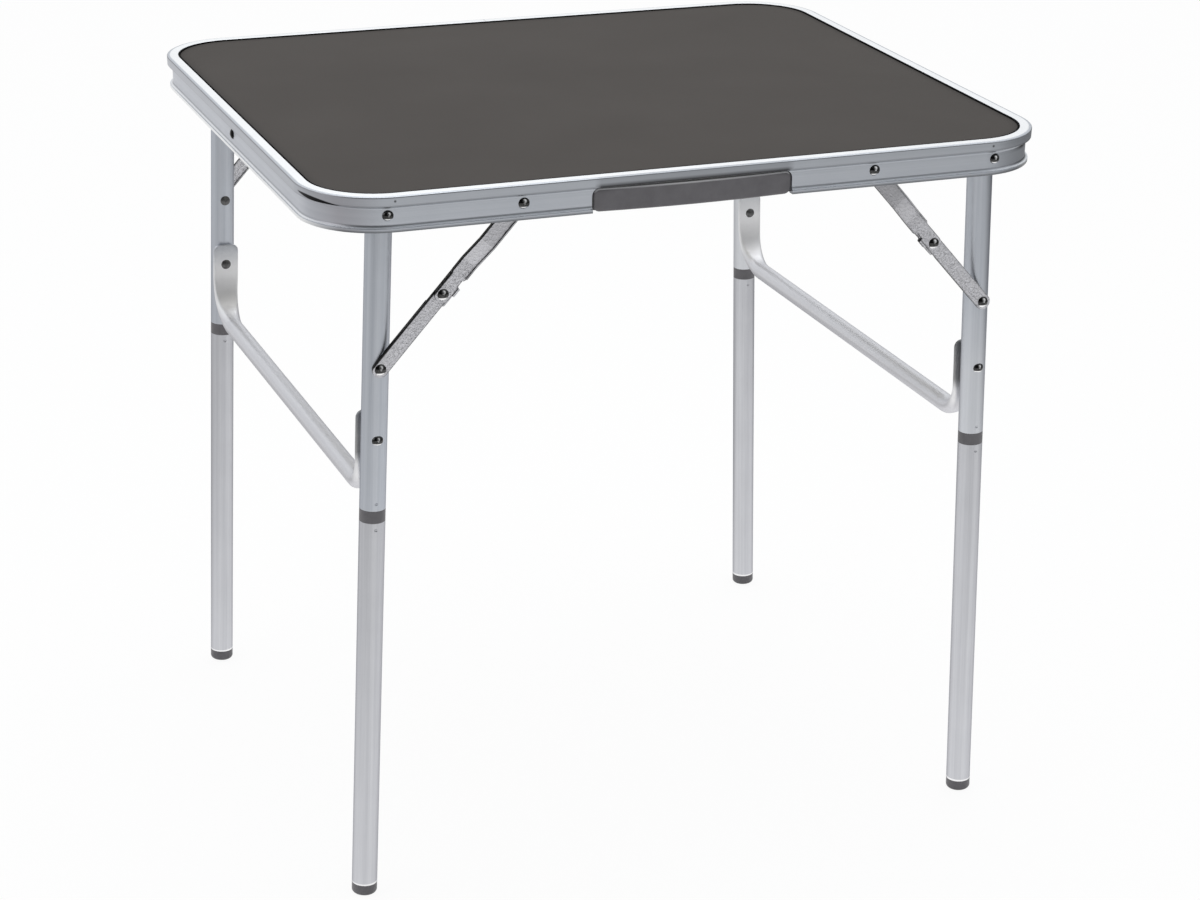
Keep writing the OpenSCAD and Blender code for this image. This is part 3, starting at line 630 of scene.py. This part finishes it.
# %% Masks for the strut bars
bar_foot = (0.3120, 0.5522)
bar_way = (0.6656, 0.7463)
bar_widens = (0.111, 0.114)
bar_halves = (0.00775, 0.009)
border_reach = (0.0004, 0.0012)
past_border = -0.0005
black_reach = (0.0014, 0.0022)
creases_end = (0.118, 0.135)
shade_grows = (0.115, 0.160)


def on_bar(tree, x, z):
    """Places on the bars, which lie in line at rest: run is the way from the rivet on the
    leg along bar_way, and off is the way across it."""
    beside = maths(tree, "SUBTRACT", bar_foot[0], maths(tree, "ABSOLUTE", x))
    above = maths(tree, "SUBTRACT", z, bar_foot[1])
    run = maths(tree, "MULTIPLY_ADD", above, bar_way[1], times(tree, beside, bar_way[0]))
    off = maths(tree, "SUBTRACT", times(tree, beside, bar_way[1]), times(tree, above, bar_way[0]))
    return run, off


def bar_masks(tree, x, y, z):
    """How much of the creases shows, how much painted shade a bar gets, and the black painted
    shadow line.
    """
    run, off = on_bar(tree, x, z)
    half = remap(tree, run, *bar_widens, *bar_halves)
    edge = maths(tree, "SUBTRACT", half, maths(tree, "ABSOLUTE", off))
    # Painted shade on the borders of the bars.
    border = times(tree, remap(tree, edge, *border_reach, 0.5, 0.0),
                   maths(tree, "GREATER_THAN", edge, past_border))
    # Painted shade on the upper bars towards the rail.
    shade_to_rail = times(tree, remap(tree, run, *shade_grows), most(
        tree, remap(tree, x, 0.0, 0.1, 0.12, 0.32), remap(tree, y, 0.0, 0.1, 0.0, 0.4)))
    # A black painted shadow line along the upper border of the front left strut.
    black = times(tree, remap(tree, maths(tree, "ADD", half, off), *black_reach, 0.96, 0.0),
                  maths(tree, "LESS_THAN", x, 0.0), maths(tree, "LESS_THAN", y, 0.0))
    return remap(tree, run, *creases_end, 1.0, 0.1), most(tree, border, shade_to_rail), black


print("three masks for the strut bars are ready")

# %% [markdown]
# ## Zinc
#
# The strut bars are pressed from zinc coated steel, and so are the plates under the top. Hot zinc
# freezes into flat crystals, so the grey is mottled: cells of two millimetres, each a little
# lighter or darker, and low bright ridges round patches of twice that size. Cell noise gives
# both. On the lower bars fine creases wind about, where a smooth noise crosses its middle, and
# get painted shade. Faces that do not point to the front or back, such as the side faces of the
# bars, get dark painted shade.

# %% Finish of the strut bars
bend_waves, bend_size = 400.0, 0.002
crystal_waves, ridge_waves, fine_waves, crease_waves = 520.0, 260.0, 900.0, 330.0
crease_width = (0.008, 0.035)
zinc_depth = 0.00016
zinc_tones = (screen(207, 207, 212), screen(238, 238, 243))
ridge_tone, crease_shade, bar_shade = grey(240), grey(120), grey(60)
black_shadow_line, side_face_shade = grey(10), grey(45)


def zinc_finish():
    """Crystals are the cells of a cell noise, whose borders are bent by a smooth noise. A
    ridge stands near the borders of a coarser cell noise, and a crease winds where another
    smooth noise is near one half."""
    material, tree, shader, place = new_finish("zinc_coat")
    where = place.outputs["Object"]
    creased, darkening, black = bar_masks(tree, *split(tree, where))
    bends = put(tree, "ShaderNodeTexNoise", {"Vector": where, "Scale": bend_waves})
    bent = vector(tree, "ADD", where, scaled(tree, bends.outputs["Color"], bend_size))
    cells = put(tree, "ShaderNodeTexVoronoi", {"Vector": bent, "Scale": crystal_waves})
    crystal = put(tree, "ShaderNodeSeparateColor", {0: cells.outputs["Color"]}).outputs[0]
    borders = put(tree, "ShaderNodeTexVoronoi", {"Vector": bent, "Scale": ridge_waves},
                  feature="DISTANCE_TO_EDGE")
    ridge = remap(tree, borders.outputs["Distance"], 0.0, 0.16, 1.0, 0.0)
    fine = noise(tree, where, fine_waves, 4.0, 0.65)
    wave = noise(tree, vector(tree, "ADD", bent, (3.1, 0, 0)), crease_waves, 1.5, 0.4)
    crease = times(tree, remap(tree, away_from(tree, wave, 0.5), *crease_width, 1.0, 0.0),
                   creased)
    tone = remap(tree, mixed(tree, crystal, fine, 0.55), 0.15, 0.85)
    colour = blend_colours(tree, tone, *zinc_tones)
    colour = blend_colours(tree, times(tree, ridge, 0.3), colour, ridge_tone)
    # Painted shade in the creases.
    colour = blend_colours(tree, times(tree, crease, 0.34), colour, crease_shade)
    # Painted shade on the bar borders and towards the rail.
    colour = blend_colours(tree, darkening, colour, bar_shade)
    # The black painted shadow line.
    colour = blend_colours(tree, black, colour, black_shadow_line)
    # Painted shade on faces that do not point to the front or back.
    facing = split(tree, vector(tree, "ABSOLUTE", place.outputs["Normal"]))[1]
    side_faces = remap(tree, facing, 0.25, 0.6, 1.0, 0.0)
    relief = maths(tree, "MULTIPLY_ADD", crease, -2.0,
                   maths(tree, "MULTIPLY_ADD", ridge, 1.2, fine))
    fill(tree, shader, {
        "Base Color": blend_colours(tree, side_faces, colour, side_face_shade),
        "Metallic": 1.0,
        "Roughness": remap(tree, crystal, 0.0, 1.0, 0.36, 0.5),
        "Normal": bump(tree, relief, zinc_depth, 0.6)})
    return material


zinc_material = zinc_finish()
print("made", zinc_material.name)

# %% [markdown]
# ## Rivets
#
# The rivets are plated bright. Their domed heads are outside, and their colours are painted
# reflections: a painted highlight on the crowns and lower edges, and a dark painted reflection on
# the flanks. The tails on the inner faces of the legs were squeezed shut and are dull. One finish
# serves both, because such a tail can be told from a head by how near it is to the middle of the
# table.

# %% Finish of the rivets
tail_y, tail_x = 0.290, 0.360
wear_waves, wear_depth = 700.0, 0.00006
crown_outward, crown_upward = 0.94, 0.34
flank_reflections = (grey(48), grey(92))
tail_tones = (grey(88), grey(120))
crown_highlight, side_rivet_reflection = grey(245), grey(26)


def rivet_finish():
    """Bright on the domed heads outside, and dull grey on the tails inside the legs.

    A point is inside where it is less than tail_y from the middle along Y and less than tail_x
    along X. That holds for the tails on the legs and for no head; the short tails behind the rail
    and the bars look like the heads. A crown is where the normal comes close to a direction that
    points outwards and a little up; it gets a painted highlight, and so does the lower edge,
    where the normal points down, while the flanks get a dark painted reflection. The two rivets
    of the short sides are beyond tail_x, and their heads get a dark painted reflection.
    """
    material, tree, shader, place = new_finish("bright_rivet")
    where = place.outputs["Object"]
    normal = place.outputs["Normal"]
    wear = noise(tree, where, wear_waves, 4.0, 0.6)
    worn = remap(tree, wear, *noise_patches)
    away_x, away_y, _ = split(tree, vector(tree, "ABSOLUTE", where))
    inside = times(tree, maths(tree, "LESS_THAN", away_y, tail_y),
                   maths(tree, "LESS_THAN", away_x, tail_x))
    facing = split(tree, vector(tree, "ABSOLUTE", normal))
    upward = split(tree, normal)[2]
    # Painted highlights on the crown and the lower edge, and dark painted reflections on the
    # flanks.
    crown = maths(tree, "MULTIPLY_ADD", most(tree, facing[0], facing[1]), crown_outward,
                  times(tree, upward, crown_upward))
    highlighted = most(tree, remap(tree, crown, 0.955, 0.985),
                 remap(tree, upward, -0.46, -0.36, 1.0, 0.0))
    head = blend_colours(tree, highlighted, blend_colours(tree, worn, *flank_reflections), crown_highlight)
    # A dark painted reflection on the heads of the two side rivets.
    head = blend_colours(tree, maths(tree, "GREATER_THAN", away_x, tail_x), head, side_rivet_reflection)
    tail = blend_colours(tree, worn, *tail_tones)
    smooth_head = remap(tree, wear, *noise_patches, 0.08, 0.18)
    fill(tree, shader, {
        "Base Color": blend_colours(tree, inside, head, tail),
        "Metallic": 1.0,
        "Roughness": maths(tree, "MULTIPLY_ADD", inside, 0.28, smooth_head),
        "Normal": bump(tree, wear, wear_depth, 0.35)})
    return material


rivet_material = rivet_finish()
print("made", rivet_material.name)

# %% [markdown]
# ## Dress the solids
#
# Each solid of the CAD model names the slot that it takes its finish from, so the
# finishes are given out by slot.

# %% Give each solid its finish
finishes = {
    "panel_sheet": panel_material, "seal": seal_material, "rail_aluminium": rail_material,
    "tube_aluminium": tube_material, "zinc_steel": zinc_material,
    "rivet_steel": rivet_material, "grey_plastic": grey_plastic,
    "black_plastic": black_plastic,
}
slot_of = {part["node"]: part["material_slot"] for part in frame["record"]["subparts"]}
for name, solid in nodes.items():
    solid.data.materials.clear()
    solid.data.materials.append(finishes[slot_of[name]])
print("dressed", len(slot_of), "solids")

# %% [markdown]
# ## Surfaces from numbers
#
# A new piece is a grid of points, in rows along a path. A grid whose rows close on
# themselves is a tube, and gets one many-sided face at each end. One function takes the
# grid as an array and puts it into a mesh in one go.

# %% Helpers for meshes
sharp_angle = math.radians(35.0)


def mesh_piece(name, points, faces, material, body):
    """Makes a piece from an array of points and a list of faces, smooth but for its edges."""
    mesh = bpy.data.meshes.new(name)
    mesh.from_pydata(points.reshape(-1, 3).tolist(), [], faces)
    mesh.validate()
    mesh.shade_smooth()
    mesh.set_sharp_from_angle(angle=sharp_angle)
    piece = bpy.data.objects.new(name, mesh)
    bpy.context.scene.collection.objects.link(piece)
    mesh.materials.append(material)
    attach(piece, body)
    return piece


def tube_faces(rows, columns):
    """Four-sided faces between neighbouring rows, and one many-sided face at each end."""
    row, column = np.meshgrid(np.arange(rows - 1), np.arange(columns), indexing="ij")
    beside = (column + 1) % columns
    quads = np.stack([row * columns + column, row * columns + beside,
                      (row + 1) * columns + beside, (row + 1) * columns + column], axis=-1)
    first = list(range(columns))
    last = list(range((rows - 1) * columns, rows * columns))
    return quads.reshape(-1, 4).tolist() + [first[::-1], last]


def outward(piece):
    """Turns the faces of a closed piece outwards, and gives its volume in cubic cm.

    The volume is the sum over its triangles of a sixth of a times (b cross c). It is
    negative where the faces point inwards.
    """
    mesh = piece.data
    mesh.calc_loop_triangles()
    points = np.empty(len(mesh.vertices) * 3)
    mesh.vertices.foreach_get("co", points)
    points = points.reshape(-1, 3)
    corners = np.empty(len(mesh.loop_triangles) * 3, dtype=np.int32)
    mesh.loop_triangles.foreach_get("vertices", corners)
    a, b, c = points[corners.reshape(-1, 3)].transpose(1, 0, 2)
    volume = np.einsum("ij,ij->i", a, np.cross(b, c)).sum() / 6
    if volume < 0:
        mesh.flip_normals()
    return abs(volume) * 1e6


print("helpers ready")

# %% [markdown]
# ## The cross braces
#
# Each leg frame is held square by one tube. Its ends are bent up in a tight curve and
# squeezed flat in a press, and the flat is riveted to the inner face of the leg. This
# could be modelled by hand from a cylinder, but the real piece is a section carried along
# a path: round on the straight, and from the start of the bend on wider and thinner until
# it is flat. So it is computed that way. The path is the middle of the straight, a quarter
# circle and a short rise, and the flat side always stays against the leg. The outline of a
# squeezed tube is two half circles joined by straight lines.

# %% Shape of a cross brace
pivot_x, pivot_z = 0.307, 0.7028
leg_face = 0.272
brace_radius = 0.0095
brace_down = 0.283
brace_top = -0.200
bend_radius = 0.035
bend_run = bend_radius * math.pi / 2
flat_thickness = 0.004
flat_width = (math.pi * 2 * brace_radius - math.pi * flat_thickness) / 2 + flat_thickness
flat_from = bend_run + 0.016
squeeze_from = -0.004
corner_radius = 0.007
rows_level, rows_bend, rows_flat, rows_end = 25, 44, 5, 10
points_per_half = 17


def smooth(t):
    """The S curve 3t squared minus 2t cubed, held at 0 and 1."""
    t = np.clip(t, 0.0, 1.0)
    return t * t * (3.0 - 2.0 * t)


def brace_points():
    """Rows of section points along the brace, in the frame of a leg pivot.

    Half of the path is a level line, an arc of a quarter turn and a rise; run is the way
    along it from the start of the arc. The section is a round of brace_radius as far as
    squeeze_from. From there to flat_from it goes over, by the S curve, to flat_width by
    flat_thickness, with its outer side staying in place. Over the last corner_radius, gone
    through by near_end from 0 to 1, each side draws in by corner_radius times 1 minus the
    root of 1 minus near_end squared, which is a quarter circle.
    """
    level = leg_face - brace_radius - bend_radius
    run_to_top = bend_run + brace_top + brace_down - bend_radius
    run = np.concatenate([
        np.linspace(-level, 0.0, rows_level)[1:-1], np.linspace(0.0, flat_from, rows_bend)[:-1],
        np.linspace(flat_from, run_to_top - corner_radius, rows_flat)[:-1],
        run_to_top - corner_radius * (1 - np.sin(np.linspace(0, math.pi / 2, rows_end)))])
    run = np.concatenate([[-level + 1e-6], run])
    turn = np.clip(run / bend_radius, 0.0, math.pi / 2)
    rise = np.maximum(run - bend_run, 0.0)
    squeeze = smooth((run - squeeze_from) / (flat_from - squeeze_from))
    deep = 2 * brace_radius + (flat_thickness - 2 * brace_radius) * squeeze
    wide = 2 * brace_radius + (flat_width - 2 * brace_radius) * squeeze
    out = brace_radius - deep / 2
    y = level + np.minimum(run, 0.0) + (bend_radius + out) * np.sin(turn)
    z = -brace_down + bend_radius + rise - (bend_radius + out) * np.cos(turn)
    near_end = np.clip((run - run_to_top + corner_radius) / corner_radius, 0.0, 1.0)
    wide = wide - 2 * corner_radius * (1 - np.sqrt(1 - near_end ** 2))
    half = np.linspace(-math.pi / 2, math.pi / 2, points_per_half)
    around = np.concatenate([half, half + math.pi])
    side = np.repeat([1.0, -1.0], len(half))
    across = side * (wide - deep)[:, None] / 2 + np.cos(around) * deep[:, None] / 2
    depth = np.sin(around) * deep[:, None] / 2
    section = np.stack([across, y[:, None] + depth * np.sin(turn)[:, None],
                        z[:, None] - depth * np.cos(turn)[:, None]], axis=-1)
    mirrored = section[::-1] * np.array((1.0, -1.0, 1.0))
    return np.concatenate([mirrored[:-1], section])


brace_grid = brace_points()
print("a brace has", brace_grid.shape[0], "rows of", brace_grid.shape[1], "points")

# %% [markdown]
# ## The braces in their places
#
# The legs stand a little apart at the foot, by the lean of 1.9 degrees, and the brace leans
# with them. So its points are turned by that angle about the leg pivot and then moved to
# it. The right brace is the left one mirrored, which turns its faces inside out, so the
# faces of both are turned outwards at the end.

# %% Make the two braces
def stand(points, side):
    """Leans points from the frame of a left leg pivot and puts them at that side's legs."""
    x = points[..., 0] * math.cos(lean_angle) + points[..., 2] * math.sin(lean_angle) - pivot_x
    z = -points[..., 0] * math.sin(lean_angle) + points[..., 2] * math.cos(lean_angle) + pivot_z
    return np.stack([side * -x, points[..., 1], z], axis=-1)


for side, word in ((-1, "left"), (1, "right")):
    rows, columns = brace_grid.shape[:2]
    brace = mesh_piece("brace_tube_" + word, stand(brace_grid, side), tube_faces(rows, columns),
                       brace_material, "leg_frame_" + word)
    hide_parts("cross_brace_" + word)
    print(brace.name, "volume", round(outward(brace), 1), "cubic cm")

# %% [markdown]
# ## The floor
#
# The photo was taken in a white studio, so the floor is white all over. To the camera it is
# nearly plain light, which keeps a trace of the table's shadow. Where metal reflects it, the
# floor is dimmer in front, at the sides and in a band behind the table, because a real
# studio is lit only in the middle, and such darker parts are what gives metal its contrast.

# %% Make the floor
floor_half = 9.0
camera_share = 0.93
white = (1, 1, 1, 1)
floor_white = (0.86, 0.86, 0.86, 1.0)
floor_mesh = bpy.data.meshes.new("floor")
floor_mesh.from_pydata([(-floor_half, -floor_half, 0), (floor_half, -floor_half, 0),
                        (floor_half, floor_half, 0), (-floor_half, floor_half, 0)],
                       [], [(0, 1, 2, 3)])
floor = bpy.data.objects.new("floor", floor_mesh)
bpy.context.scene.collection.objects.link(floor)


def floor_finish():
    """Matt white with a share of plain light for the camera. For reflections it is plain
    light alone, dimmed by the darkest of four ramps: front, left, right and behind."""
    material = bpy.data.materials.new("white_floor")
    material.use_nodes = True
    tree = material.node_tree
    tree.nodes.clear()
    paths = put(tree, "ShaderNodeLightPath")
    matt = put(tree, "ShaderNodeBsdfDiffuse", {"Color": floor_white})
    lit = put(tree, "ShaderNodeEmission", {"Color": white, "Strength": 1.0})
    seen = put(tree, "ShaderNodeMixShader", {
        0: times(tree, paths.outputs["Is Camera Ray"], camera_share),
        1: matt.outputs[0], 2: lit.outputs[0]})
    x, y, _ = split(tree, put(tree, "ShaderNodeTexCoord").outputs["Object"])
    in_front = remap(tree, y, -1.7, -0.55, 0.77, 1.0)
    at_left = most(tree, remap(tree, x, -1.7, -0.5, 0.60, 1.0),
                   remap(tree, y, 0.8, 1.8, 0.0, 0.9))
    at_right = remap(tree, x, 1.3, 2.2, 1.0, 0.22)
    behind = most(tree, remap(tree, y, 0.30, 0.75, 1.0, 0.66),
                  remap(tree, y, 1.4, 2.4, 0.66, 1.0))
    dim = put(tree, "ShaderNodeEmission", {
        "Color": white, "Strength": least(tree, in_front, behind, at_left, at_right)})
    both = put(tree, "ShaderNodeMixShader", {0: paths.outputs["Is Glossy Ray"],
                                             1: seen.outputs[0], 2: dim.outputs[0]})
    put(tree, "ShaderNodeOutputMaterial", {"Surface": both.outputs[0]})
    return material


floor_mesh.materials.append(floor_finish())
print("floor is", 2 * floor_half, "m wide")

# %% [markdown]
# ## The studio round the table
#
# The world is plain white to the camera. Real studios are dark behind the photographer, and
# that dark patch is what gives bright metal its contrast. So the world that lights the
# table is dimmer towards the camera and brighter above, and reflections also find a darker
# wall low on the right.

# %% Light the world
toward_camera = (-0.3597, -0.9110, 0.20)
cool_white = (0.97, 0.985, 1.0, 1)
world = bpy.data.worlds.new("studio")
bpy.context.scene.world = world
world.use_nodes = True
sky = world.node_tree
sky.nodes.clear()
paths = put(sky, "ShaderNodeLightPath")
direction = put(sky, "ShaderNodeTexCoord").outputs["Generated"]
rightward, _, height = split(sky, direction)
toward = put(sky, "ShaderNodeVectorMath", {0: direction, 1: toward_camera},
             operation="DOT_PRODUCT").outputs["Value"]
above = remap(sky, height, 0.1, 0.9, 0.80, 1.08)
darkest = maths(sky, "MULTIPLY_ADD", paths.outputs["Is Glossy Ray"], 0.5, 0.45)
dark_room = times(sky, remap(sky, toward, 0.35, 0.85), darkest)
dark_wall = times(sky, remap(sky, rightward, 0.35, 0.95, 0.0, 0.6),
                  remap(sky, height, 0.1, 0.6, 1.0, 0.0))
dark_wall = times(sky, dark_wall, paths.outputs["Is Glossy Ray"])
level = times(sky, above, maths(sky, "SUBTRACT", 1.0, dark_room))
level = times(sky, level, maths(sky, "SUBTRACT", 1.0, dark_wall))
seen_white = put(sky, "ShaderNodeBackground", {"Color": white, "Strength": 1.0})
lights_up = put(sky, "ShaderNodeBackground", {"Color": cool_white, "Strength": level})
mix = put(sky, "ShaderNodeMixShader", {0: paths.outputs["Is Camera Ray"],
                                       1: lights_up.outputs[0], 2: seen_white.outputs[0]})
put(sky, "ShaderNodeOutputWorld", {"Surface": mix.outputs[0]})
print("world lit")

# %% [markdown]
# ## Two softboxes
#
# The world alone lights the table from all sides alike. A large lamp above and behind gives
# the panel its even sheen, and a weaker one at the left brightens the side that the photo
# shows brighter. Both are square lamps over a metre wide, so their shadows stay soft.

# %% Hang the softboxes
def softbox(name, place, target, size, power):
    """A square lamp that faces a target, both in metres, with its power in watts."""
    data = bpy.data.lights.new(name, "AREA")
    data.shape = "SQUARE"
    data.size = size
    data.energy = power
    lamp = bpy.data.objects.new(name, data)
    bpy.context.scene.collection.objects.link(lamp)
    aim = (Vector(target) - Vector(place)).to_track_quat("-Z", "Y")
    lamp.matrix_world = Matrix.Translation(place) @ aim.to_matrix().to_4x4()


softbox("softbox_above", (0.3, 0.6, 2.9), (0.0, 0.0, 0.7), 1.8, 16.0)
softbox("softbox_left", (-2.4, -0.6, 1.6), (0.0, 0.0, 0.4), 1.2, 6.0)
print("two softboxes")

# %% [markdown]
# ## The view
#
# The picture is shown with the plain Standard view, so colours come out as written.

# %% Set the view
bpy.context.scene.view_settings.view_transform = "Standard"
